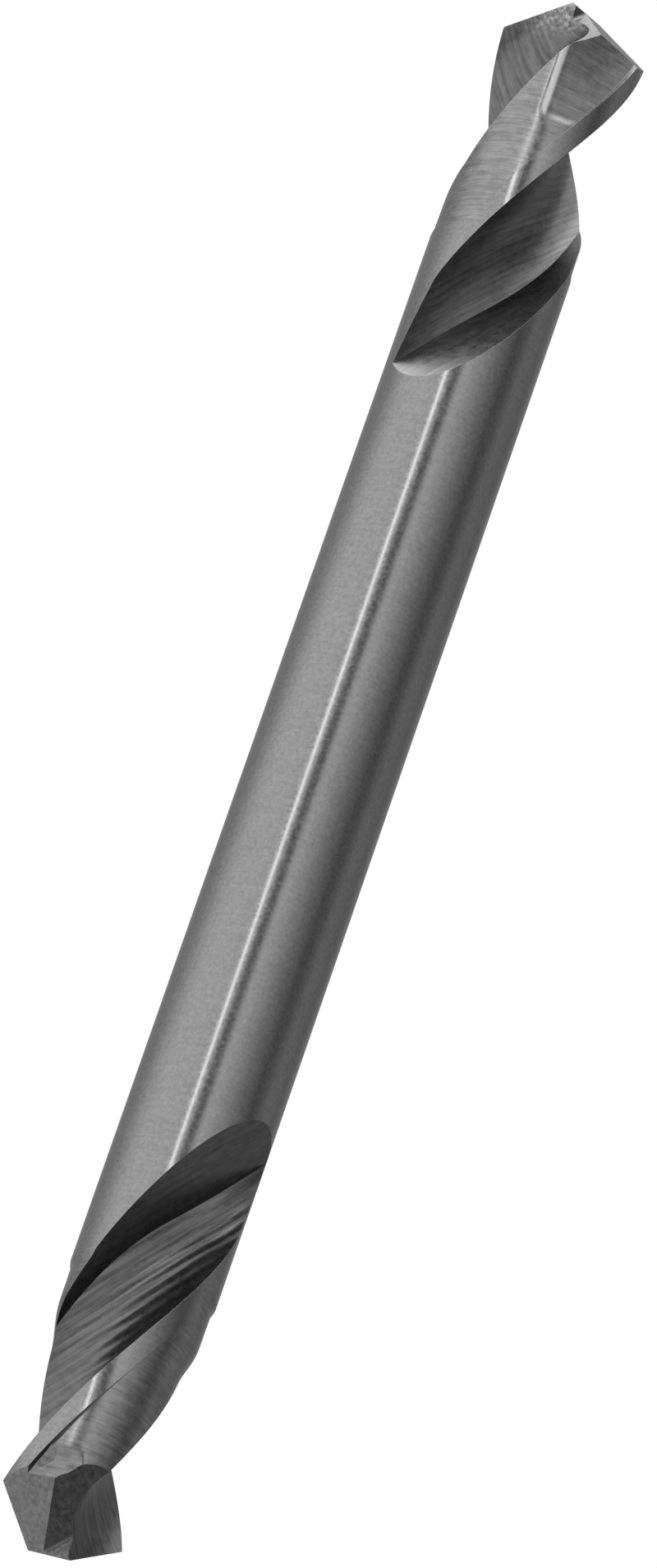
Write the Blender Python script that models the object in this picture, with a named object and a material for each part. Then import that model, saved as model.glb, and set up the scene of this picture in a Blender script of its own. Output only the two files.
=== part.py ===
"""Double-ended twist drill: one ground steel rod with a short fluted drill point at each end.

The rod stands along Z with its middle at the origin. Each end is shaped in its own frame, with the
tip at the origin, the rod running down -Z and the first lip running out along +X, and is then
turned and moved to its place. Sizes are in millimetres and are turned to metres at the end.
"""

from math import asin, atan2, ceil, cos, degrees, pi, radians, sin, sqrt, tan

import bmesh
import bpy
from mathutils import Matrix, Vector

MM = 0.001

# Rod
DIAMETER = 4.7625
LENGTH = 57.15
ROD_SIDES = 96

# Flutes
HELIX_ANGLE = 28.5
RUN_OUT_HELIX_ANGLE = 13.0
WEB_THICKNESS = 1.15
FLUTE_END_DEPTH = 11.7
WHEEL_SETTING_ANGLE = 36.5
WHEEL_FLANK_ANGLE = 40.0
WHEEL_AHEAD_OF_EDGE = 58.0

# Point
POINT_ANGLE = 109.0
LIP_RELIEF_ANGLE = 25.0
NOTCH_FLOOR_ANGLE = 49.5
NOTCH_WALL_TURN = -116.0
NOTCH_CORNER_RADIUS = 0.12
CHISEL_HALF_WIDTH = 0.04

# Lands
MARGIN_WIDTH = 0.6
MARGIN_END_SHARE = 0.35
MARGIN_TAPER_LENGTH = 1.6
CLEARANCE_DEPTH = 0.15
CLEARANCE_SHORT_OF_FLUTE = 2.1
CLEARANCE_RAMP = 0.3
CLEARANCE_PAST_HEEL_ANGLE = 30.0
HEEL_RELIEF_SHORT_OF_CLEARANCE = 1.4
HEEL_RELIEF_RAMP = 1.5
POCKET_FLATNESS = 0.9
POCKET_STEP = 0.04
POCKET_STEP_WIDTH = 0.12
POCKET_FILLET = 0.45

# The two ends differ as hand-set grinding leaves them: how far the first lip's outer corner is
# turned from -Y, how wide the flutes are round the rod, which way the notch falls from that lip
# and how far below the tip it passes, how deep the clearance still is at its far end, how much
# lower the land is at its heel, how far the flat pocket behind the point runs down the land, and
# how far it reaches back round the rod.
UPPER_END = {
    "lip_turn": 86.5,
    "flute_width": 101.0,
    "notch_turn": -95.0,
    "notch_drop": 0.02,
    "clearance_end_depth": 0.045,
    "heel_relief": 0.03,
    "pocket_length": 5.4,
    "pocket_reach": 94.0,
}
LOWER_END = {
    "lip_turn": 61.5,
    "flute_width": 105.0,
    "notch_turn": -79.0,
    "notch_drop": 0.2,
    "clearance_end_depth": 0.08,
    "heel_relief": 0.24,
    "pocket_length": 2.8,
    "pocket_reach": 61.5,
}

# Fineness of the ground surfaces
DEGREES_PER_STEP = 9.0
FACE_STEPS = 9
HEEL_STEPS = 8
LAND_COLUMNS = 14
LAND_ROWS = 30

RADIUS = DIAMETER / 2
HALF_WEB = WEB_THICKNESS / 2
OUTSIDE = 1.6 * RADIUS
LEAD = pi * DIAMETER / tan(radians(HELIX_ANGLE))
TURN_PER_MM = 2 * pi / LEAD
RUN_OUT_TURN_PER_MM = tan(radians(RUN_OUT_HELIX_ANGLE)) / RADIUS
LIP_SLOPE = 1 / tan(radians(POINT_ANGLE / 2))
RELIEF_SLOPE = tan(radians(LIP_RELIEF_ANGLE))
LIP_REACH = sqrt(RADIUS**2 - HALF_WEB**2)
CORNER_TURN = asin(HALF_WEB / RADIUS)
CORNER_Z = HALF_WEB * RELIEF_SLOPE - LIP_REACH * LIP_SLOPE
MARGIN_ANGLE = MARGIN_WIDTH / cos(radians(HELIX_ANGLE)) / RADIUS
PAST_HEEL_ANGLE = radians(CLEARANCE_PAST_HEEL_ANGLE)
CLEARANCE_LENGTH = FLUTE_END_DEPTH - CLEARANCE_SHORT_OF_FLUTE
HEEL_RELIEF_LENGTH = CLEARANCE_LENGTH - HEEL_RELIEF_SHORT_OF_CLEARANCE


def polar(radius, angle, z=0.0):
    """The point at a radius and an angle about the rod's axis."""
    return Vector((radius * cos(angle), radius * sin(angle), z))


def leading_turn(z):
    """Angle of the leading edge of the first land at a height in the end's frame.

    The edge straightens where the flute runs out.
    """
    in_run_out = max(-FLUTE_END_DEPTH - z, 0.0)
    helix = CORNER_TURN + TURN_PER_MM * (z - CORNER_Z)
    return helix + (TURN_PER_MM - RUN_OUT_TURN_PER_MM) * in_run_out


def face_point(run):
    """A point of the flute's cutting face, run mm along the lip, seen square to the axis.

    The face is the shape that leaves the lip straight at the point angle, so each point of it is
    a point of the lip carried down the helix to one height.
    """
    radius = sqrt(run**2 + HALF_WEB**2)
    along_lip = atan2(HALF_WEB, run) - CORNER_TURN
    carried = TURN_PER_MM * LIP_SLOPE * (run - LIP_REACH)
    return polar(radius, along_lip + carried)


def flute_angle(end):
    """How far round the rod one flute of an end reaches."""
    return radians(end["flute_width"])


def flute_section(end):
    """Outline of one flute square to the axis, with the leading edge at angle 0."""
    outer_run = sqrt((1.12 * RADIUS) ** 2 - HALF_WEB**2)
    points = [face_point(outer_run * (1 - i / FACE_STEPS)) for i in range(FACE_STEPS + 1)]

    # The back of the flute is an arc from the web, square to its radius there, to the heel.
    bottom = points[-1]
    tangent = Vector((-bottom.y, bottom.x, 0)).normalized()
    normal = Vector((tangent.y, -tangent.x, 0))
    chord = polar(RADIUS, flute_angle(end)) - bottom
    arc_radius = chord.length_squared / (2 * chord.dot(normal))
    centre = bottom + normal * arc_radius
    arc_angle = 2 * asin(chord.length / (2 * arc_radius))
    spoke = bottom - centre
    for i in range(1, HEEL_STEPS + 1):
        turn = Matrix.Rotation(-arc_angle * i / HEEL_STEPS, 3, "Z")
        points.append(centre + turn @ spoke)
    heel_heading = Matrix.Rotation(-arc_angle, 3, "Z") @ tangent
    points.append(points[-1] + heel_heading * 0.25 * RADIUS)

    # The cutter closes well outside the rod.
    closing_angles = (1.02, 0.75, 0.5, 0.25, -0.02)
    points += [polar(OUTSIDE, flute_angle(end) * share) for share in closing_angles]
    return points


def fill_open_ends(bm):
    bmesh.ops.holes_fill(bm, edges=bm.edges[:], sides=0)
    bmesh.ops.recalc_face_normals(bm, faces=bm.faces[:])


def cut_by_plane(bm, point, normal):
    """Removes what lies on the normal's side of a plane and closes the cut."""
    geometry = bm.verts[:] + bm.edges[:] + bm.faces[:]
    cut = bmesh.ops.bisect_plane(
        bm, geom=geometry, dist=1e-6, plane_co=point, plane_no=normal, clear_outer=True
    )
    edges = [item for item in cut["geom_cut"] if isinstance(item, bmesh.types.BMEdge)]
    bmesh.ops.contextual_create(bm, geom=edges)
    bmesh.ops.recalc_face_normals(bm, faces=bm.faces[:])


def flute_cutter(end):
    """The helical groove, ended by the flank of the grinding wheel."""
    bm = bmesh.new()
    top = 0.3 * RADIUS
    bottom = -(FLUTE_END_DEPTH + 2.6 * RADIUS)
    steps = ceil(degrees((top - bottom) * TURN_PER_MM) / DEGREES_PER_STEP)
    verts = [bm.verts.new(point + Vector((0, 0, bottom))) for point in flute_section(end)]
    edges = [bm.edges.new((a, b)) for a, b in zip(verts, verts[1:] + verts[:1])]
    bmesh.ops.spin(
        bm,
        geom=verts + edges,
        cent=(0, 0, 0),
        axis=(0, 0, 1),
        dvec=(0, 0, (top - bottom) / steps),
        angle=(top - bottom) * TURN_PER_MM,
        steps=steps,
        use_duplicate=False,
    )
    for vert in bm.verts:
        spun = TURN_PER_MM * (vert.co.z - bottom)
        vert.co = Matrix.Rotation(leading_turn(vert.co.z) - spun, 3, "Z") @ vert.co
    fill_open_ends(bm)

    # The wheel's rim touches the web at this height, with its plane turned from the axis.
    rim_z = -FLUTE_END_DEPTH
    rim_turn = leading_turn(rim_z) + radians(WHEEL_AHEAD_OF_EDGE)
    outward = polar(1, rim_turn)
    across = polar(1, rim_turn + pi / 2)
    setting = radians(WHEEL_SETTING_ANGLE)
    flank = radians(WHEEL_FLANK_ANGLE)
    shankward = cos(setting) * across - sin(setting) * Vector((0, 0, 1))
    into_rod = sin(flank) * -outward + cos(flank) * shankward
    cut_by_plane(bm, outward * HALF_WEB + Vector((0, 0, rim_z)), into_rod)
    return bm


def smooth_step(distance, width):
    """0 at one side of a fillet, 1 at the other."""
    share = min(max(distance / width, 0.0), 1.0)
    return share * share * (3 - 2 * share)


def land_floor(back, z, margin, end):
    """Depth of the ground land below the rod's surface, back radians behind the leading edge."""
    share = min(back / (pi - flute_angle(end)), 1.0)
    fading = CLEARANCE_DEPTH - end["clearance_end_depth"]
    depth = CLEARANCE_DEPTH + fading * z / CLEARANCE_LENGTH
    depth *= smooth_step(z + CLEARANCE_LENGTH, CLEARANCE_RAMP)
    relief = smooth_step(z + HEEL_RELIEF_LENGTH, HEEL_RELIEF_RAMP)
    depth += end["heel_relief"] * share**2 * relief
    above = smooth_step(z + end["pocket_length"], POCKET_FILLET)
    return depth + pocket_depth(back, z, margin, end) * above


def pocket_depth(back, z, margin, end):
    """Depth of the pocket, nearly a flat chord from the margin to the pocket's far edge."""
    far_back = leading_turn(z) - CORNER_TURN + radians(end["pocket_reach"])
    half = max(far_back - margin, 0.0) / 2
    off_middle = min(abs(back - margin - half), half)
    chord_depth = RADIUS * (1 - cos(half) / cos(off_middle))
    step = smooth_step((far_back - back) * RADIUS, POCKET_STEP_WIDTH)
    return POCKET_FLATNESS * chord_depth + POCKET_STEP * step


def land_cutter(end):
    """What is ground off one land behind its margin: the clearance and the deeper pocket."""
    bm = bmesh.new()
    bmesh.ops.create_grid(bm, x_segments=LAND_COLUMNS, y_segments=LAND_ROWS, size=0.5)
    top = 0.2 * RADIUS
    bottom = -CLEARANCE_LENGTH
    past_heel = pi - flute_angle(end) + PAST_HEEL_ANGLE
    for vert in bm.verts:
        z = bottom + (top - bottom) * (vert.co.y + 0.5)
        widening = smooth_step(z + CLEARANCE_LENGTH, MARGIN_TAPER_LENGTH)
        margin = MARGIN_ANGLE * (MARGIN_END_SHARE + (1 - MARGIN_END_SHARE) * widening)
        back = margin + (past_heel - margin) * (vert.co.x + 0.5)
        vert.co = polar(RADIUS - land_floor(back, z, margin, end), leading_turn(z) - back, z)
    shell = bmesh.ops.extrude_face_region(bm, geom=bm.faces[:])
    for item in shell["geom"]:
        if isinstance(item, bmesh.types.BMVert):
            item.co.xy = item.co.xy.normalized() * 1.3 * RADIUS
    bmesh.ops.recalc_face_normals(bm, faces=bm.faces[:])
    return bm


def notch_cutter(end):
    """The web-thinning notch beside the chisel edge: a steep floor and an upright wall."""
    bm = bmesh.new()
    downhill = polar(1, radians(end["notch_turn"]))
    slope = tan(radians(NOTCH_FLOOR_ANGLE))
    floor_normal = (downhill * slope + Vector((0, 0, 1))).normalized()
    wall_way = polar(1, radians(NOTCH_WALL_TURN))
    wall_normal = Vector((-wall_way.y, wall_way.x, 0))
    corner_way = wall_normal.cross(floor_normal).normalized()
    if corner_way.z > 0:
        corner_way.negate()
    along_floor = corner_way.cross(floor_normal)
    if along_floor.dot(wall_normal) < 0:
        along_floor.negate()
    reach = 2 * RADIUS
    start = wall_normal * CHISEL_HALF_WIDTH - corner_way * reach
    start.z -= end["notch_drop"]
    up_wall = wall_normal.cross(corner_way)
    if up_wall.z < 0:
        up_wall.negate()
    section = (
        start,
        start + along_floor * reach,
        start + along_floor * reach + up_wall * reach,
        start + up_wall * reach,
    )
    face = bm.faces.new([bm.verts.new(point) for point in section])
    corner_vert = bm.verts[:][0]
    grown = bmesh.ops.extrude_face_region(bm, geom=[face], use_keep_orig=True)
    moved = [item for item in grown["geom"] if isinstance(item, bmesh.types.BMVert)]
    bmesh.ops.translate(bm, verts=moved, vec=corner_way * 2 * reach)
    corner_edge = next(
        edge for edge in corner_vert.link_edges if edge.other_vert(corner_vert) in moved
    )
    bmesh.ops.bevel(
        bm,
        geom=[corner_edge],
        offset=NOTCH_CORNER_RADIUS,
        segments=3,
        profile=0.5,
        affect="EDGES",
        material=-1,
    )
    bmesh.ops.recalc_face_normals(bm, faces=bm.faces[:])
    return bm


def end_place(end, lower):
    """Where an end's own frame sits on the rod."""
    turn = radians(end["lip_turn"] - 90) - CORNER_TURN
    place = Matrix.Translation((0, 0, LENGTH / 2)) @ Matrix.Rotation(turn, 4, "Z")
    return Matrix.Rotation(pi, 4, "Y") @ place if lower else place


HALF_TURN = Matrix.Rotation(pi, 4, "Z")
ENDS = (
    (UPPER_END, end_place(UPPER_END, lower=False)),
    (LOWER_END, end_place(LOWER_END, lower=True)),
)


def rod_blank():
    """The rod with the four flanks of its two points ground."""
    bm = bmesh.new()
    bmesh.ops.create_cone(
        bm,
        cap_ends=True,
        segments=ROD_SIDES,
        radius1=RADIUS,
        radius2=RADIUS,
        depth=LENGTH + RADIUS,
    )
    flank_normal = Vector((LIP_SLOPE, -RELIEF_SLOPE, 1))
    for _, place in ENDS:
        for half in (Matrix.Identity(4), HALF_TURN):
            whole = place @ half
            cut_by_plane(bm, whole.translation, whole.to_3x3() @ flank_normal)
    return bm


def gathered(pieces):
    """One bmesh holding several placed pieces."""
    bm = bmesh.new()
    for piece, place in pieces:
        piece.transform(place)
        mesh = bpy.data.meshes.new("piece")
        piece.to_mesh(mesh)
        piece.free()
        bm.from_mesh(mesh)
        bpy.data.meshes.remove(mesh)
    return bm


def add_object(name, bm):
    """A scene object, in metres, from a bmesh in millimetres."""
    bm.transform(Matrix.Scale(MM, 4))
    mesh = bpy.data.meshes.new(name)
    bm.to_mesh(mesh)
    bm.free()
    item = bpy.data.objects.new(name, mesh)
    bpy.context.scene.collection.objects.link(item)
    return item


def cut_away(item, cutter):
    """Subtracts a cutter, which stays in the file as a hidden wire shape."""
    cutter.hide_render = True
    cutter.display_type = "WIRE"
    boolean = item.modifiers.new("cut " + cutter.name, "BOOLEAN")
    boolean.operation = "DIFFERENCE"
    boolean.solver = "EXACT"
    boolean.object = cutter


def ground_steel():
    material = bpy.data.materials.new("ground high speed steel")
    material.use_nodes = True
    shader = material.node_tree.nodes["Principled BSDF"]
    shader.inputs["Base Color"].default_value = (0.42, 0.42, 0.42, 1)
    shader.inputs["Metallic"].default_value = 1.0
    shader.inputs["Roughness"].default_value = 0.35
    return material


def build():
    for item in list(bpy.data.objects):
        bpy.data.objects.remove(item)

    drill = add_object("double_ended_drill", rod_blank())
    both_halves = (Matrix.Identity(4), HALF_TURN)
    flutes = [(flute_cutter(end), place @ half) for end, place in ENDS for half in both_halves]
    lands = [(land_cutter(end), place @ half) for end, place in ENDS for half in both_halves]
    cut_away(drill, add_object("flute_grooves", gathered(flutes)))
    cut_away(drill, add_object("land_clearances", gathered(lands)))
    for name, half in (("first_notches", both_halves[0]), ("second_notches", both_halves[1])):
        notches = [(notch_cutter(end), place @ half) for end, place in ENDS]
        cut_away(drill, add_object(name, gathered(notches)))

    drill.data.materials.append(ground_steel())
    drill.data.shade_smooth()
    drill.data.set_sharp_from_angle(angle=radians(25))


build()
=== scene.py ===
"""The looks of the double-ended drill.

A finer copy of the ground rod stands in for the plain one, with one finish for each way its
surfaces were ground. Sizes are in millimetres and are turned to metres at the end.
"""

from math import asin, atan2, ceil, cos, degrees, pi, radians, sin, sqrt, tan

import bmesh
import bpy
from mathutils import Matrix, Vector


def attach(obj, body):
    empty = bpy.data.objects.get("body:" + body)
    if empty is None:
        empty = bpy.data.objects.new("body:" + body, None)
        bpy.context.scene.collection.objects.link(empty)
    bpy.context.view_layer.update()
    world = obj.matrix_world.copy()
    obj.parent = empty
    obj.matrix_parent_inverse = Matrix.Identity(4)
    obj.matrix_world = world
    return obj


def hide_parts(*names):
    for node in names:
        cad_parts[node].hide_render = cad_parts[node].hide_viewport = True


MM = 0.001

# Rod
DIAMETER = 4.7625
LENGTH = 57.15
ROD_SIDES = 192

# Flutes
HELIX_ANGLE = 28.5
RUN_OUT_HELIX_ANGLE = 13.0
WEB_THICKNESS = 1.15
FLUTE_END_DEPTH = 11.7
WHEEL_SETTING_ANGLE = 36.5
WHEEL_FLANK_ANGLE = 40.0
WHEEL_AHEAD_OF_EDGE = 58.0

# Point
POINT_ANGLE = 109.0
LIP_RELIEF_ANGLE = 25.0
NOTCH_FLOOR_ANGLE = 49.5
NOTCH_WALL_TURN = -116.0
NOTCH_CORNER_RADIUS = 0.12
NOTCH_CORNER_STEPS = 6
CHISEL_HALF_WIDTH = 0.04

# Lands
MARGIN_WIDTH = 0.6
MARGIN_END_SHARE = 0.35
MARGIN_TAPER_LENGTH = 1.6
CLEARANCE_DEPTH = 0.15
CLEARANCE_SHORT_OF_FLUTE = 2.1
CLEARANCE_RAMP = 0.3
CLEARANCE_PAST_HEEL_ANGLE = 30.0
HEEL_RELIEF_SHORT_OF_CLEARANCE = 1.4
HEEL_RELIEF_RAMP = 1.5
POCKET_FLATNESS = 0.9
POCKET_STEP = 0.04
POCKET_STEP_WIDTH = 0.12
POCKET_FILLET = 0.45
POCKET_EDGE_ROUNDING = 0.16
HOLLOW_HALF_WIDTH = 0.5
HOLLOW_SOFT_SIDE = 0.3

# The two ends differ as hand-set grinding leaves them: how far the first lip's outer corner is
# turned from -Y, how wide the flutes are round the rod, which way the notch falls from that lip
# and how far below the tip it passes, how deep the clearance still is at its far end, how much
# lower the land is at its heel, how far the flat pocket behind the point runs down the land, how
# far it reaches back round the rod, how strongly a highlight is painted along its far edge, and
# how far below the tip a shallow hollow crosses it and how deep that is.
UPPER_END = {
    "lip_turn": 86.5,
    "flute_width": 101.0,
    "notch_turn": -95.0,
    "notch_drop": 0.02,
    "clearance_end_depth": 0.045,
    "heel_relief": 0.03,
    "pocket_length": 5.4,
    "pocket_reach": 94.0,
    "rim_highlight": 1.0,
    "hollow_place": 5.1,
    "hollow_depth": 0.03,
}
LOWER_END = {
    "lip_turn": 61.5,
    "flute_width": 105.0,
    "notch_turn": -79.0,
    "notch_drop": 0.2,
    "clearance_end_depth": 0.08,
    "heel_relief": 0.24,
    "pocket_length": 2.8,
    "pocket_reach": 61.5,
    "rim_highlight": 0.0,
    "hollow_place": 2.3,
    "hollow_depth": 0.16,
}

# Fineness of the ground surfaces
DEGREES_PER_STEP = 4.0
FACE_STEPS = 18
HEEL_STEPS = 18
LAND_COLUMNS = 60
LAND_ROWS = 100
POCKET_COLUMNS = 26
NARROWEST_POCKET_ANGLE = 20.0
SCREEN_STEPS = 90
SHARP_ANGLE = 20.0

# The flutes' map of how the grinding wheel passed over them, and the lands' map of how far off
# the pocket's far edge lies and how strongly a highlight is painted along it
WHEEL_MAP = "wheel passes"
RIM_MAP = "pocket rim"

RADIUS = DIAMETER / 2
HALF_WEB = WEB_THICKNESS / 2

# How far the cutters reach past the steel
OUTSIDE = 1.6 * RADIUS
FACE_OUTSIDE = 1.12 * RADIUS
HEEL_RUN_ON = 0.25 * RADIUS
FLUTE_ABOVE_TIP = 0.3 * RADIUS
FLUTE_PAST_END = 2.6 * RADIUS
LAND_ABOVE_TIP = 0.2 * RADIUS
LAND_OUTSIDE = 1.3 * RADIUS
NOTCH_REACH = 2 * RADIUS

# Turns, slopes and lengths that follow from the sizes
LEAD = pi * DIAMETER / tan(radians(HELIX_ANGLE))
TURN_PER_MM = 2 * pi / LEAD
RUN_OUT_TURN_PER_MM = tan(radians(RUN_OUT_HELIX_ANGLE)) / RADIUS
LIP_SLOPE = 1 / tan(radians(POINT_ANGLE / 2))
RELIEF_SLOPE = tan(radians(LIP_RELIEF_ANGLE))
LIP_REACH = sqrt(RADIUS**2 - HALF_WEB**2)
CORNER_TURN = asin(HALF_WEB / RADIUS)
CORNER_Z = HALF_WEB * RELIEF_SLOPE - LIP_REACH * LIP_SLOPE
MARGIN_ANGLE = MARGIN_WIDTH / cos(radians(HELIX_ANGLE)) / RADIUS
PAST_HEEL_ANGLE = radians(CLEARANCE_PAST_HEEL_ANGLE)
CLEARANCE_LENGTH = FLUTE_END_DEPTH - CLEARANCE_SHORT_OF_FLUTE
HEEL_RELIEF_LENGTH = CLEARANCE_LENGTH - HEEL_RELIEF_SHORT_OF_CLEARANCE

# Worn edges; the highlight painted along the upper pocket's rim, by how far off the rim lies; and
# the worn specks by their height
EDGE_WEAR = 0.02
RIM_HIGHLIGHT_FULL = 0.08
RIM_HIGHLIGHT_GONE = 0.16
RIM_HIGHLIGHT_RUN_OUT = 0.4
TIP_WEAR_FULL = LENGTH / 2 - 0.6
TIP_WEAR_GONE = LENGTH / 2 - 1.4
SPECK_WIDTH = 0.16
SPECK_RANGE = (0.42, 0.95)
# Pale grey of the worn specks near the upper tip, and of the highlight painted along the upper
# pocket's rim
WEAR_AND_HIGHLIGHT_BRIGHT = "dcdcdc"

# Grinding lines: how slowly the pattern changes along a line as a share of across it, how far
# straight lines are turned, and how the pattern gives tone and roughness
CHANGE_ALONG_WHEEL_LINE = 0.05
CHANGE_ALONG_LINE = 0.06
STRAIGHT_LAY = (0.3, 0.2, 0.6)
TONE_RANGE = (0.35, 0.65)
MOTTLE_RANGE = (0.3, 0.7)
ROUGHNESS_SPREAD = 0.06

# The wheel's passes across the lower flutes, and where they show
PASS_SPACING = 0.32
PASS_DEPTH = 0.016
PASSES_MIDDLE = 9.3 - LENGTH / 2
PASSES_FULL = 2.8
PASSES_GONE = 4.2
BANDS_PER_UNIT = 2 * pi / 20

# The paper screen round the drill, and its greys at so many degrees round from -Y towards +X
SCREEN_RADIUS = 200
SCREEN_BOTTOM = -295
SCREEN_TOP = 280
SCREEN_GREYS = (
    (-90, "f4f4f4"),
    (-75, "ffffff"),
    (-45, "ffffff"),
    (-30, "f6f6f6"),
    (-16, "f0f0f0"),
    (-11, "8c8c8c"),
    (-4, "8c8c8c"),
    (2, "e6e6e6"),
    (6, "f6f6f6"),
    (21, "dadada"),
    (45, "a6a6a6"),
    (70, "707070"),
    (80, "767676"),
    (98, "9a9a9a"),
    (115, "929292"),
    (130, "848484"),
    (155, "8c8c8c"),
    (-140, "a0a0a0"),
    (-121, "b4b4b4"),
    (-106, "d2d2d2"),
    (-91, "f2f2f2"),
)

# The camera looks up at the drill from below its middle, and is turned about its own axis.
LOOK_UP_ANGLE = 25.5
CAMERA_DISTANCE = 451.8
CAMERA_LENS = 328.3
CAMERA_SENSOR_WIDTH = 36
CAMERA_ROLL = 19.2
CAMERA_ASIDE = 0.32
CAMERA_DOWN = 0.57

# Room and floor
ROOM_LEVEL = 0.6
FLOOR_HALF_WIDTH = 1500
FLOOR_HEIGHT = -300


def polar(radius, angle, z=0.0):
    """The point at a radius and an angle about the rod's axis."""
    return Vector((radius * cos(angle), radius * sin(angle), z))


def leading_turn(z):
    """Angle of the leading edge of the first land at a height in the end's frame."""
    in_run_out = max(-FLUTE_END_DEPTH - z, 0.0)
    helix = CORNER_TURN + TURN_PER_MM * (z - CORNER_Z)
    return helix + (TURN_PER_MM - RUN_OUT_TURN_PER_MM) * in_run_out


def face_point(run):
    """A point of the flute's cutting face, run mm along the lip, seen square to the axis."""
    radius = sqrt(run**2 + HALF_WEB**2)
    along_lip = atan2(HALF_WEB, run) - CORNER_TURN
    carried = TURN_PER_MM * LIP_SLOPE * (run - LIP_REACH)
    return polar(radius, along_lip + carried)


def flute_angle(end):
    """How far round the rod one flute of an end reaches."""
    return radians(end["flute_width"])


def flute_section(end):
    """Outline of one flute square to the axis, with the leading edge at angle 0."""
    outer_run = sqrt(FACE_OUTSIDE**2 - HALF_WEB**2)
    points = [face_point(outer_run * (1 - i / FACE_STEPS)) for i in range(FACE_STEPS + 1)]
    bottom = points[-1]
    tangent = Vector((-bottom.y, bottom.x, 0)).normalized()
    normal = Vector((tangent.y, -tangent.x, 0))
    chord = polar(RADIUS, flute_angle(end)) - bottom
    arc_radius = chord.length_squared / (2 * chord.dot(normal))
    centre = bottom + normal * arc_radius
    arc_angle = 2 * asin(chord.length / (2 * arc_radius))
    spoke = bottom - centre
    for i in range(1, HEEL_STEPS + 1):
        turn = Matrix.Rotation(-arc_angle * i / HEEL_STEPS, 3, "Z")
        points.append(centre + turn @ spoke)
    heel_heading = Matrix.Rotation(-arc_angle, 3, "Z") @ tangent
    points.append(points[-1] + heel_heading * HEEL_RUN_ON)
    closing_shares = (1.02, 0.75, 0.5, 0.25, -0.02)
    points += [polar(OUTSIDE, flute_angle(end) * share) for share in closing_shares]
    return points


def cut_by_plane(bm, point, normal):
    """Removes what lies on the normal's side of a plane and closes the cut."""
    geometry = bm.verts[:] + bm.edges[:] + bm.faces[:]
    cut = bmesh.ops.bisect_plane(
        bm, geom=geometry, dist=1e-6, plane_co=point, plane_no=normal, clear_outer=True
    )
    edges = [item for item in cut["geom_cut"] if isinstance(item, bmesh.types.BMEdge)]
    closed = bmesh.ops.contextual_create(bm, geom=edges)
    bmesh.ops.recalc_face_normals(bm, faces=bm.faces[:])
    return closed["faces"]


def flute_cutter(end):
    """The helical groove, and the end that the flank of the grinding wheel leaves."""
    bm = bmesh.new()
    top = FLUTE_ABOVE_TIP
    bottom = -(FLUTE_END_DEPTH + FLUTE_PAST_END)
    steps = ceil(degrees((top - bottom) * TURN_PER_MM) / DEGREES_PER_STEP)
    verts = [bm.verts.new(point + Vector((0, 0, bottom))) for point in flute_section(end)]
    edges = [bm.edges.new((a, b)) for a, b in zip(verts, verts[1:] + verts[:1])]
    bmesh.ops.spin(
        bm,
        geom=verts + edges,
        cent=(0, 0, 0),
        axis=(0, 0, 1),
        dvec=(0, 0, (top - bottom) / steps),
        angle=(top - bottom) * TURN_PER_MM,
        steps=steps,
        use_duplicate=False,
    )
    for vert in bm.verts:
        spun = TURN_PER_MM * (vert.co.z - bottom)
        vert.co = Matrix.Rotation(leading_turn(vert.co.z) - spun, 3, "Z") @ vert.co
    bmesh.ops.holes_fill(bm, edges=bm.edges[:], sides=0)
    bmesh.ops.recalc_face_normals(bm, faces=bm.faces[:])

    rim_z = -FLUTE_END_DEPTH
    rim_turn = leading_turn(rim_z) + radians(WHEEL_AHEAD_OF_EDGE)
    outward = polar(1, rim_turn)
    across = polar(1, rim_turn + pi / 2)
    setting = radians(WHEEL_SETTING_ANGLE)
    flank = radians(WHEEL_FLANK_ANGLE)
    shankward = cos(setting) * across - sin(setting) * Vector((0, 0, 1))
    into_rod = sin(flank) * -outward + cos(flank) * shankward
    for face in cut_by_plane(bm, outward * HALF_WEB + Vector((0, 0, rim_z)), into_rod):
        face.material_index = 1

    # The map runs along the wheel's rim and across it, in millimetres.
    along_rim = sin(setting) * across + cos(setting) * Vector((0, 0, 1))
    lay = bm.loops.layers.uv.new(WHEEL_MAP)
    for face in bm.faces:
        for loop in face.loops:
            loop[lay].uv = (loop.vert.co.dot(along_rim), loop.vert.co.dot(shankward))
    return bm


def smooth_step(distance, width):
    """0 at one side of a fillet, 1 at the other."""
    share = min(max(distance / width, 0.0), 1.0)
    return share * share * (3 - 2 * share)


def land_floor(back, z, margin, end):
    """Depth of the ground land below the rod's surface, back radians behind the leading edge."""
    share = min(back / (pi - flute_angle(end)), 1.0)
    fading = CLEARANCE_DEPTH - end["clearance_end_depth"]
    depth = CLEARANCE_DEPTH + fading * z / CLEARANCE_LENGTH
    depth *= smooth_step(z + CLEARANCE_LENGTH, CLEARANCE_RAMP)
    relief = smooth_step(z + HEEL_RELIEF_LENGTH, HEEL_RELIEF_RAMP)
    depth += end["heel_relief"] * share**2 * relief
    above = smooth_step(z + end["pocket_length"], POCKET_FILLET)

    # The pocket's far edge is rounded over by the wheel's soft rim.
    rounding = min(POCKET_EDGE_ROUNDING / RADIUS, back - margin)
    steps = (-1, -0.5, 0, 0.5, 1)
    nearby = [pocket_depth(back + rounding * step, z, margin, end) for step in steps]
    return depth + sum(nearby) / len(nearby) * above + hollow_depth(back, z, margin, end)


def hollow_depth(back, z, margin, end):
    """Depth of the shallow hollow that the point grinder's wheel leaves across the pocket."""
    off_middle = abs(z + end["hollow_place"]) / HOLLOW_HALF_WIDTH
    inside = smooth_step((pocket_far_back(z, end) - back) * RADIUS, HOLLOW_HALF_WIDTH)
    inside *= smooth_step((back - margin) * RADIUS, HOLLOW_SOFT_SIDE)
    return end["hollow_depth"] * smooth_step(1 - off_middle, 1) * inside


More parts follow.
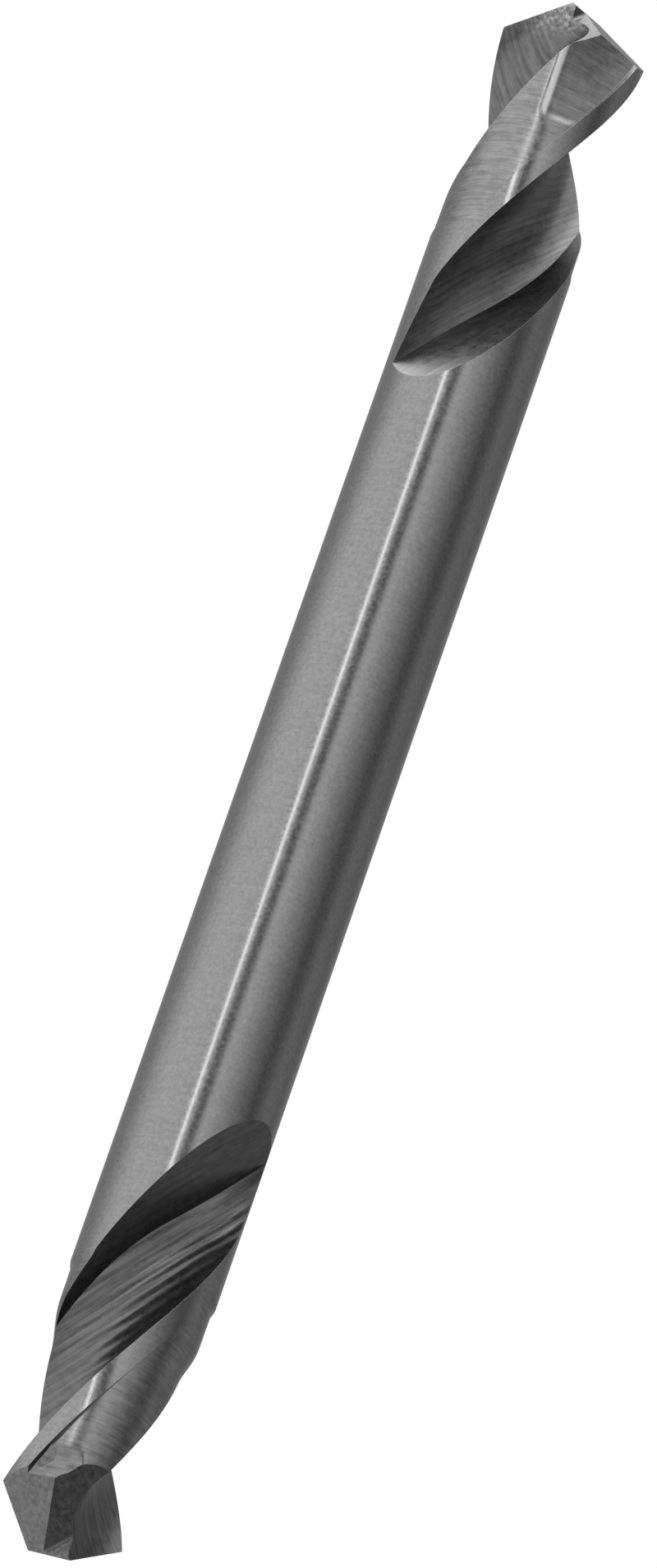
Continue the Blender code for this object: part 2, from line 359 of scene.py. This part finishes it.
def pocket_far_back(z, end):
    """How far behind the leading edge the pocket's far edge lies, in radians."""
    return leading_turn(z) - CORNER_TURN + radians(end["pocket_reach"])


def pocket_depth(back, z, margin, end):
    """Depth of the pocket, nearly a flat chord from the margin to the pocket's far edge."""
    far_back = pocket_far_back(z, end)
    half = max(far_back - margin, 0.0) / 2
    off_middle = min(abs(back - margin - half), half)
    chord_depth = RADIUS * (1 - cos(half) / cos(off_middle))
    step = smooth_step((far_back - back) * RADIUS, POCKET_STEP_WIDTH)
    return POCKET_FLATNESS * chord_depth + POCKET_STEP * step


def land_cutter(end):
    """What is ground off one land behind its margin: the clearance and the deeper pocket."""
    bm = bmesh.new()
    bmesh.ops.create_grid(bm, x_segments=LAND_COLUMNS, y_segments=LAND_ROWS, size=0.5)
    top = LAND_ABOVE_TIP
    bottom = -CLEARANCE_LENGTH
    past_heel = pi - flute_angle(end) + PAST_HEEL_ANGLE
    pocket = set()
    off_rim = {}
    for vert in bm.verts:
        z = bottom + (top - bottom) * (vert.co.y + 0.5)
        widening = smooth_step(z + CLEARANCE_LENGTH, MARGIN_TAPER_LENGTH)
        margin = MARGIN_ANGLE * (MARGIN_END_SHARE + (1 - MARGIN_END_SHARE) * widening)
        # One column follows the pocket's far edge.
        split = max(pocket_far_back(z, end), margin + radians(NARROWEST_POCKET_ANGLE))
        column = (vert.co.x + 0.5) * LAND_COLUMNS
        if column < POCKET_COLUMNS + 0.5:
            back = margin + (split - margin) * column / POCKET_COLUMNS
        else:
            beyond = (column - POCKET_COLUMNS) / (LAND_COLUMNS - POCKET_COLUMNS)
            back = split + (past_heel - split) * beyond
        vert.co = polar(RADIUS - land_floor(back, z, margin, end), leading_turn(z) - back, z)
        off_rim[vert] = (back - pocket_far_back(z, end)) * RADIUS
        if z > -end["pocket_length"] and column < POCKET_COLUMNS + 0.5:
            pocket.add(vert)
    for face in bm.faces:
        face.material_index = 1 if pocket.issuperset(face.verts) else 0

    # The map holds how far off the pocket's far edge lies, in millimetres, and how strongly a
    # highlight is painted along that edge.
    rim = bm.loops.layers.uv.new(RIM_MAP)
    for face in bm.faces:
        for loop in face.loops:
            above = smooth_step(loop.vert.co.z + end["pocket_length"], RIM_HIGHLIGHT_RUN_OUT)
            loop[rim].uv = (off_rim[loop.vert], end["rim_highlight"] * above)

    shell = bmesh.ops.extrude_face_region(bm, geom=bm.faces[:])
    for item in shell["geom"]:
        if isinstance(item, bmesh.types.BMVert):
            item.co.xy = item.co.xy.normalized() * LAND_OUTSIDE

    # The walls between floor and outside leave the step beside the margin.
    for face in bm.faces:
        outside = [vert.co.xy.length > (RADIUS + LAND_OUTSIDE) / 2 for vert in face.verts]
        if any(outside) and not all(outside):
            face.material_index = 2
    bmesh.ops.recalc_face_normals(bm, faces=bm.faces[:])
    return bm


def notch_cutter(end):
    """The web-thinning notch beside the chisel edge: a steep floor and an upright wall."""
    bm = bmesh.new()
    downhill = polar(1, radians(end["notch_turn"]))
    slope = tan(radians(NOTCH_FLOOR_ANGLE))
    floor_normal = (downhill * slope + Vector((0, 0, 1))).normalized()
    wall_way = polar(1, radians(NOTCH_WALL_TURN))
    wall_normal = Vector((-wall_way.y, wall_way.x, 0))
    corner_way = wall_normal.cross(floor_normal).normalized()
    if corner_way.z > 0:
        corner_way.negate()
    along_floor = corner_way.cross(floor_normal)
    if along_floor.dot(wall_normal) < 0:
        along_floor.negate()
    start = wall_normal * CHISEL_HALF_WIDTH - corner_way * NOTCH_REACH
    start.z -= end["notch_drop"]
    up_wall = wall_normal.cross(corner_way)
    if up_wall.z < 0:
        up_wall.negate()
    section = (
        start,
        start + along_floor * NOTCH_REACH,
        start + along_floor * NOTCH_REACH + up_wall * NOTCH_REACH,
        start + up_wall * NOTCH_REACH,
    )
    face = bm.faces.new([bm.verts.new(point) for point in section])
    corner_vert = bm.verts[:][0]
    grown = bmesh.ops.extrude_face_region(bm, geom=[face], use_keep_orig=True)
    moved = [item for item in grown["geom"] if isinstance(item, bmesh.types.BMVert)]
    bmesh.ops.translate(bm, verts=moved, vec=corner_way * 2 * NOTCH_REACH)
    corner_edge = next(
        edge for edge in corner_vert.link_edges if edge.other_vert(corner_vert) in moved
    )
    bmesh.ops.bevel(
        bm,
        geom=[corner_edge],
        offset=NOTCH_CORNER_RADIUS,
        segments=NOTCH_CORNER_STEPS,
        profile=0.5,
        affect="EDGES",
        material=-1,
    )
    bmesh.ops.recalc_face_normals(bm, faces=bm.faces[:])
    return bm


def end_place(end, lower):
    """Where an end's own frame sits on the rod."""
    turn = radians(end["lip_turn"] - 90) - CORNER_TURN
    place = Matrix.Translation((0, 0, LENGTH / 2)) @ Matrix.Rotation(turn, 4, "Z")
    return Matrix.Rotation(pi, 4, "Y") @ place if lower else place


HALF_TURN = Matrix.Rotation(pi, 4, "Z")
BOTH_HALVES = (Matrix.Identity(4), HALF_TURN)
ENDS = (
    (UPPER_END, end_place(UPPER_END, lower=False)),
    (LOWER_END, end_place(LOWER_END, lower=True)),
)


def rod_blank():
    """The rod with the four flanks of its two points ground."""
    bm = bmesh.new()
    bmesh.ops.create_cone(
        bm,
        cap_ends=True,
        segments=ROD_SIDES,
        radius1=RADIUS,
        radius2=RADIUS,
        depth=LENGTH + RADIUS,
    )
    flank_normal = Vector((LIP_SLOPE, -RELIEF_SLOPE, 1))
    for _, place in ENDS:
        for half in BOTH_HALVES:
            whole = place @ half
            for face in cut_by_plane(bm, whole.translation, whole.to_3x3() @ flank_normal):
                face.material_index = 1
    return bm


def gathered(pieces):
    """One bmesh holding several placed pieces."""
    bm = bmesh.new()
    for piece, place in pieces:
        piece.transform(place)
        mesh = bpy.data.meshes.new("piece")
        piece.to_mesh(mesh)
        piece.free()
        bm.from_mesh(mesh)
        bpy.data.meshes.remove(mesh)
    return bm


def add_object(name, bm, finishes):
    """A scene object, in metres, from a bmesh in millimetres."""
    bm.transform(Matrix.Scale(MM, 4))
    mesh = bpy.data.meshes.new(name)
    bm.to_mesh(mesh)
    bm.free()
    for finish in finishes:
        mesh.materials.append(finish)
    item = bpy.data.objects.new(name, mesh)
    bpy.context.scene.collection.objects.link(item)
    return item


def ground_drill(finishes):
    """The finished drill as one mesh, each surface with the finish that its cutter carries."""
    shank, facet, flute, run_out, land, pocket, notch = finishes
    drill = add_object("ground_drill", rod_blank(), (shank, facet))
    flutes = [(flute_cutter(end), place @ half) for end, place in ENDS for half in BOTH_HALVES]
    lands = [(land_cutter(end), place @ half) for end, place in ENDS for half in BOTH_HALVES]
    cutters = [
        add_object("flute_grooves", gathered(flutes), (flute, run_out)),
        add_object("land_clearances", gathered(lands), (land, pocket, notch)),
    ]
    for half in BOTH_HALVES:
        notches = [(notch_cutter(end), place @ half) for end, place in ENDS]
        cutters.append(add_object("notches", gathered(notches), (notch,)))
    for cutter in cutters:
        boolean = drill.modifiers.new("cut " + cutter.name, "BOOLEAN")
        boolean.operation = "DIFFERENCE"
        boolean.solver = "EXACT"
        boolean.material_mode = "TRANSFER"
        boolean.object = cutter
    shown = drill.evaluated_get(bpy.context.evaluated_depsgraph_get())
    mesh = bpy.data.meshes.new_from_object(shown)
    drill.modifiers.clear()
    drill.data = mesh
    mesh.shade_smooth()
    mesh.set_sharp_from_angle(angle=radians(SHARP_ANGLE))
    for cutter in cutters:
        bpy.data.objects.remove(cutter)
    return drill


def linear(code):
    """The linear colour of an sRGB hex code."""
    levels = [int(code[i : i + 2], 16) / 255 for i in (0, 2, 4)]
    return tuple(v / 12.92 if v <= 0.04045 else ((v + 0.055) / 1.055) ** 2.4 for v in levels) + (1,)


def add_node(tree, kind, settings=None, links=None):
    """A node with its settings, by name or socket, and its links."""
    node = tree.nodes.new(kind)
    for name, value in (settings or {}).items():
        if isinstance(name, str) and hasattr(node, name):
            setattr(node, name, value)
        else:
            node.inputs[name].default_value = value
    for name, source in (links or {}).items():
        tree.links.new(source, node.inputs[name])
    return node


def ground_metal(
    name, dark, light, roughness, lay, line_mm, mottle_mm, depth_mm, contrast, wear_and_highlight=None
):
    """Ground steel between two tones, with grinding lines and a finer mottle.

    lay is how the lines run: around the rod, with the wheel, or straight and turned by an angle
    about each axis. line_mm and mottle_mm are the patterns' widths, depth_mm the lines' depth and
    contrast their share in the tone. The last argument says where the tone is lightened: worn
    bright in specks near the upper tip, or with a painted highlight along the upper pocket's rim.
    """
    material = bpy.data.materials.new(name)
    material.use_nodes = True
    tree = material.node_tree
    shader = tree.nodes["Principled BSDF"]
    shader.inputs["Metallic"].default_value = 1.0
    place = add_node(tree, "ShaderNodeTexCoord").outputs["Object"]
    if lay == "wheel":
        place_on_lines = add_node(tree, "ShaderNodeUVMap", {"uv_map": WHEEL_MAP}).outputs[0]
        stretch = (CHANGE_ALONG_WHEEL_LINE * MM, MM, 1)
    elif lay == "around":
        place_on_lines = place
        stretch = (CHANGE_ALONG_LINE, CHANGE_ALONG_LINE, 1)
    else:
        place_on_lines = add_node(
            tree, "ShaderNodeMapping", {"Rotation": lay}, {"Vector": place}
        ).outputs[0]
        stretch = (1, CHANGE_ALONG_LINE, 1)
    per_metre = 1 / (line_mm * MM)
    scaled = add_node(
        tree,
        "ShaderNodeMapping",
        {"Scale": tuple(per_metre * share for share in stretch)},
        {"Vector": place_on_lines},
    ).outputs[0]
    lines = add_node(
        tree,
        "ShaderNodeTexNoise",
        {"Scale": 1.0, "Detail": 3.0, "Roughness": 0.6},
        {"Vector": scaled},
    ).outputs[0]
    mottle = add_node(
        tree,
        "ShaderNodeTexNoise",
        {"Scale": 1 / (mottle_mm * MM), "Detail": 4.0, "Roughness": 0.6},
        {"Vector": place},
    ).outputs[0]
    mixed = add_node(
        tree, "ShaderNodeMix", {"data_type": "FLOAT", 0: contrast}, {2: mottle, 3: lines}
    ).outputs[0]
    colour = add_node(
        tree,
        "ShaderNodeMapRange",
        {"From Min": TONE_RANGE[0], "From Max": TONE_RANGE[1]},
        {"Value": mixed},
    ).outputs[0]
    tone = add_node(
        tree,
        "ShaderNodeMix",
        {"data_type": "RGBA", 6: linear(dark), 7: linear(light)},
        {0: colour},
    ).outputs[2]
    # Lightened towards a pale grey: worn specks near the upper tip, or a painted highlight along
    # the upper pocket's rim
    if wear_and_highlight:
        share = rubbed_tip(tree, place) if wear_and_highlight == "tip" else painted_rim_highlight(tree)
        tone = add_node(
            tree,
            "ShaderNodeMix",
            {"data_type": "RGBA", 7: linear(WEAR_AND_HIGHLIGHT_BRIGHT)},
            {0: share, 6: tone},
        ).outputs[2]
    rough = add_node(
        tree,
        "ShaderNodeMapRange",
        {
            "From Min": MOTTLE_RANGE[0],
            "From Max": MOTTLE_RANGE[1],
            "To Min": roughness - ROUGHNESS_SPREAD,
            "To Max": roughness + ROUGHNESS_SPREAD,
        },
        {"Value": mottle},
    ).outputs[0]
    worn_edge = add_node(
        tree, "ShaderNodeBevel", {"samples": 4, "Radius": EDGE_WEAR * MM}
    ).outputs[0]
    bump = add_node(
        tree,
        "ShaderNodeBump",
        {"Strength": 1.0, "Distance": depth_mm * MM},
        {"Height": lines, "Normal": worn_edge},
    ).outputs[0]
    if wear_and_highlight == "tip":
        bump = passes_of_the_wheel(tree, place, place_on_lines, bump)
    tree.links.new(tone, shader.inputs["Base Color"])
    tree.links.new(rough, shader.inputs["Roughness"])
    tree.links.new(bump, shader.inputs["Normal"])
    return material


def rubbed_tip(tree, place):
    """How much the flute is rubbed bright, in speckles beside the upper tip."""
    height = add_node(tree, "ShaderNodeSeparateXYZ", links={0: place}).outputs["Z"]
    near_tip = add_node(
        tree,
        "ShaderNodeMapRange",
        {"From Min": TIP_WEAR_GONE * MM, "From Max": TIP_WEAR_FULL * MM},
        {"Value": height},
    ).outputs[0]
    speckles = add_node(
        tree,
        "ShaderNodeTexNoise",
        {"Scale": 1 / (SPECK_WIDTH * MM), "Detail": 3.0},
        {"Vector": place},
    ).outputs[0]
    spread = add_node(
        tree,
        "ShaderNodeMapRange",
        {"From Min": SPECK_RANGE[0], "From Max": SPECK_RANGE[1]},
        {"Value": speckles},
    ).outputs[0]
    return add_node(
        tree, "ShaderNodeMath", {"operation": "MULTIPLY"}, {0: near_tip, 1: spread}
    ).outputs[0]


def painted_rim_highlight(tree):
    """How strongly a highlight is painted on the land, along the far edge of the upper pocket."""
    rim = add_node(tree, "ShaderNodeUVMap", {"uv_map": RIM_MAP}).outputs[0]
    across = add_node(tree, "ShaderNodeSeparateXYZ", links={0: rim}).outputs
    off_rim = add_node(
        tree, "ShaderNodeMath", {"operation": "ABSOLUTE"}, {0: across["X"]}
    ).outputs[0]
    rim_highlight_share = add_node(
        tree,
        "ShaderNodeMapRange",
        {"From Min": RIM_HIGHLIGHT_FULL, "From Max": RIM_HIGHLIGHT_GONE, "To Min": 1.0, "To Max": 0.0},
        {"Value": off_rim},
    ).outputs[0]
    return add_node(
        tree, "ShaderNodeMath", {"operation": "MULTIPLY"}, {0: rim_highlight_share, 1: across["Y"]}
    ).outputs[0]


def passes_of_the_wheel(tree, place, place_on_lines, normal):
    """The steps that the wheel's passes leave across the lower flutes."""
    steps = add_node(
        tree,
        "ShaderNodeTexWave",
        {
            "bands_direction": "Y",
            "wave_profile": "SIN",
            "Scale": BANDS_PER_UNIT / PASS_SPACING,
            "Distortion": 2.0,
            "Detail": 2.0,
            "Detail Scale": 0.4,
        },
        {"Vector": place_on_lines},
    ).outputs[1]
    height = add_node(tree, "ShaderNodeSeparateXYZ", links={0: place}).outputs["Z"]
    past_middle = add_node(
        tree, "ShaderNodeMath", {"operation": "SUBTRACT", 1: PASSES_MIDDLE * MM}, {0: height}
    ).outputs[0]
    from_middle = add_node(
        tree, "ShaderNodeMath", {"operation": "ABSOLUTE"}, {0: past_middle}
    ).outputs[0]
    share = add_node(
        tree,
        "ShaderNodeMapRange",
        {"From Min": PASSES_FULL * MM, "From Max": PASSES_GONE * MM, "To Min": 1.0, "To Max": 0.0},
        {"Value": from_middle},
    ).outputs[0]
    return add_node(
        tree,
        "ShaderNodeBump",
        {"Distance": PASS_DEPTH * MM},
        {"Strength": share, "Height": steps, "Normal": normal},
    ).outputs[0]


def soft_light(name, towards, distance_mm, width_mm, height_mm, watts):
    """A rectangular soft light that faces the drill from a direction."""
    lamp = bpy.data.lights.new(name, "AREA")
    lamp.shape = "RECTANGLE"
    lamp.size = width_mm * MM
    lamp.size_y = height_mm * MM
    lamp.energy = watts
    light = bpy.data.objects.new(name, lamp)
    way = Vector(towards).normalized()
    light.location = way * distance_mm * MM
    light.rotation_euler = way.to_track_quat("Z", "Y").to_euler()
    bpy.context.scene.collection.objects.link(light)
    return light


def graded_screen():
    """A paper screen that stands round the drill and gives round steel its bands of grey.

    It is seen in the metal alone. Its greys are graded round the drill, from -Y towards +X.
    """
    bm = bmesh.new()
    ends = [bm.verts.new((0, -SCREEN_RADIUS, z)) for z in (SCREEN_BOTTOM, SCREEN_TOP)]
    edge = bm.edges.new(ends)
    bmesh.ops.spin(
        bm,
        geom=[*ends, edge],
        cent=(0, 0, 0),
        axis=(0, 0, 1),
        angle=2 * pi,
        steps=SCREEN_STEPS,
        use_merge=True,
        use_duplicate=False,
    )
    material = bpy.data.materials.new("graded grey paper, lit from behind")
    material.use_nodes = True
    tree = material.node_tree
    tree.nodes.clear()
    place = add_node(tree, "ShaderNodeTexCoord").outputs["Object"]
    round_drill = add_node(
        tree, "ShaderNodeTexGradient", {"gradient_type": "RADIAL"}, {"Vector": place}
    ).outputs[1]
    ramp = add_node(tree, "ShaderNodeValToRGB", links={0: round_drill})
    stops = ramp.color_ramp.elements
    stops.remove(stops[1])
    for degrees_round, grey in SCREEN_GREYS:
        share = (0.25 + degrees_round / 360) % 1
        stop = stops.new(share) if share else stops[0]
        stop.color = linear(grey)
    glow = add_node(tree, "ShaderNodeEmission", {"Strength": 1.0}, {"Color": ramp.outputs[0]})
    add_node(tree, "ShaderNodeOutputMaterial", links={"Surface": glow.outputs[0]})
    screen = add_object("graded_screen", bm, (material,))
    screen.visible_camera = False
    screen.visible_shadow = False
    screen.visible_diffuse = False
    screen.visible_transmission = False
    return screen


def pale_room():
    """An even pale room, which is plain white where it is seen directly or in the metal."""
    world = bpy.data.worlds.new("pale room")
    bpy.context.scene.world = world
    world.use_nodes = True
    tree = world.node_tree
    path = add_node(tree, "ShaderNodeLightPath").outputs
    seen = add_node(
        tree,
        "ShaderNodeMath",
        {"operation": "ADD"},
        {0: path["Is Camera Ray"], 1: path["Is Glossy Ray"]},
    ).outputs[0]
    shown = add_node(
        tree,
        "ShaderNodeMath",
        {"operation": "ADD", "use_clamp": True},
        {0: seen, 1: path["Is Transmission Ray"]},
    ).outputs[0]
    level = add_node(
        tree, "ShaderNodeMapRange", {"To Min": ROOM_LEVEL, "To Max": 1.0}, {"Value": shown}
    ).outputs[0]
    background = tree.nodes["Background"]
    background.inputs["Color"].default_value = linear("ffffff")
    tree.links.new(level, background.inputs["Strength"])


def pale_floor():
    """A plain pale floor, far enough below that the camera looks up past it."""
    bm = bmesh.new()
    bmesh.ops.create_grid(bm, x_segments=1, y_segments=1, size=FLOOR_HALF_WIDTH)
    bmesh.ops.translate(bm, verts=bm.verts[:], vec=(0, 0, FLOOR_HEIGHT))
    material = bpy.data.materials.new("white painted board")
    material.use_nodes = True
    shader = material.node_tree.nodes["Principled BSDF"]
    shader.inputs["Base Color"].default_value = linear("e9e9e9")
    shader.inputs["Roughness"].default_value = 0.8
    return add_object("pale_floor", bm, (material,))


def photo_camera():
    """The camera at the viewing angle of the photograph."""
    up_angle = radians(LOOK_UP_ANGLE)
    right = Vector((1, 0, 0))
    up = Vector((0, -sin(up_angle), cos(up_angle)))
    forward = Vector((0, cos(up_angle), sin(up_angle)))
    roll = radians(CAMERA_ROLL)
    image_right = cos(roll) * right + sin(roll) * up
    image_up = cos(roll) * up - sin(roll) * right
    where = -forward * CAMERA_DISTANCE + right * CAMERA_ASIDE - up * CAMERA_DOWN
    lens = bpy.data.cameras.new("photo camera")
    lens.lens = CAMERA_LENS
    lens.sensor_width = CAMERA_SENSOR_WIDTH
    lens.clip_start = 0.01
    camera = bpy.data.objects.new("photo camera", lens)
    turned = Matrix((image_right, image_up, -forward)).transposed()
    camera.matrix_world = Matrix.Translation(where * MM) @ turned.to_4x4()
    bpy.context.scene.collection.objects.link(camera)
    bpy.context.scene.camera = camera


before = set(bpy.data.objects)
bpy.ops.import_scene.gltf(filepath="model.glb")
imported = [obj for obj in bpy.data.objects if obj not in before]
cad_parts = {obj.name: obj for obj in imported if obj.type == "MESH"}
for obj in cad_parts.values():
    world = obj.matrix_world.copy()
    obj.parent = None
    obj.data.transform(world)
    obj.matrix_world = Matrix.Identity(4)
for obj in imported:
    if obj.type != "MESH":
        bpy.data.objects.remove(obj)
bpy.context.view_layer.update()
bpy.context.scene.view_settings.view_transform = "Standard"
photo_camera()
pale_room()
floor = pale_floor()
screen = graded_screen()

# Most real grinding lines are a few hundredths of a millimetre wide at most. That is too fine to
# show in the picture, so every finish draws them as coarse as they need to show.

# Centreless-ground shank: even grey with a fine grain and faint rings round it.
shank = ground_metal(
    "centreless-ground high speed steel",
    dark="8e8e8e",
    light="a2a2a2",
    roughness=0.15,
    lay="around",
    line_mm=0.10,
    mottle_mm=0.13,
    depth_mm=0.0003,
    contrast=0.25,
)
# Point facets, ground dry on a coarse wheel: matt, grainy, with short straight lines.
facet = ground_metal(
    "wheel-ground point facet",
    dark="707070",
    light="949494",
    roughness=0.34,
    lay=STRAIGHT_LAY,
    line_mm=0.10,
    mottle_mm=0.16,
    depth_mm=0.0012,
    contrast=0.4,
)
# Flutes: darker, with lines that follow the wheel, its steps low down and light specks at the tip.
flute = ground_metal(
    "creep-ground flute",
    dark="5c5c5c",
    light="848484",
    roughness=0.30,
    lay="wheel",
    line_mm=0.10,
    mottle_mm=0.3,
    depth_mm=0.0015,
    contrast=0.7,
    wear_and_highlight="tip",
)
# The flat end that the wheel's flank leaves: the same steel, with straight lines.
run_out = ground_metal(
    "flute run-out",
    dark="5e5e5e",
    light="7e7e7e",
    roughness=0.30,
    lay="wheel",
    line_mm=0.10,
    mottle_mm=0.3,
    depth_mm=0.0012,
    contrast=0.6,
)
# Lands: relieved on a fine wheel, light grey with hairlines round the drill, and with a highlight
# painted along the upper pocket's far edge.
land = ground_metal(
    "relief-ground land",
    dark="828282",
    light="a6a6a6",
    roughness=0.22,
    lay="around",
    line_mm=0.07,
    mottle_mm=0.3,
    depth_mm=0.0006,
    contrast=0.6,
    wear_and_highlight="rim",
)
# Pockets: hollowed a little deeper on a coarse wheel, darker, with lines round the drill.
pocket = ground_metal(
    "coarse-ground pocket",
    dark="747474",
    light="989898",
    roughness=0.30,
    lay="around",
    line_mm=0.10,
    mottle_mm=0.3,
    depth_mm=0.0012,
    contrast=0.6,
    # The highlight along the upper pocket's far edge is painted in.
    wear_and_highlight="rim",
)
# Web-thinning notches, and the step beside each margin: cut with the wheel's edge, the darkest.
notch = ground_metal(
    "wheel-cut notch",
    dark="585858",
    light="7a7a7a",
    roughness=0.30,
    lay=STRAIGHT_LAY,
    line_mm=0.10,
    mottle_mm=0.2,
    depth_mm=0.0012,
    contrast=0.5,
)

drill = ground_drill((shank, facet, flute, run_out, land, pocket, notch))
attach(drill, "root")
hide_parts("double_ended_drill")

# A tall narrow light gives the bright line down the shank, an overhead one lights what faces up,
# and a broad one fills from the left.
soft_light("tall strip light", (-0.33, -0.84, 0.43), 190, 10.5, 190, 0.016)
soft_light("overhead soft light", (-0.25, 0, 1), 280, 240, 320, 0.41)
broad = soft_light("broad front light", (-0.33, -0.82, 0.43), 500, 700, 700, 0.7)
broad.visible_glossy = False
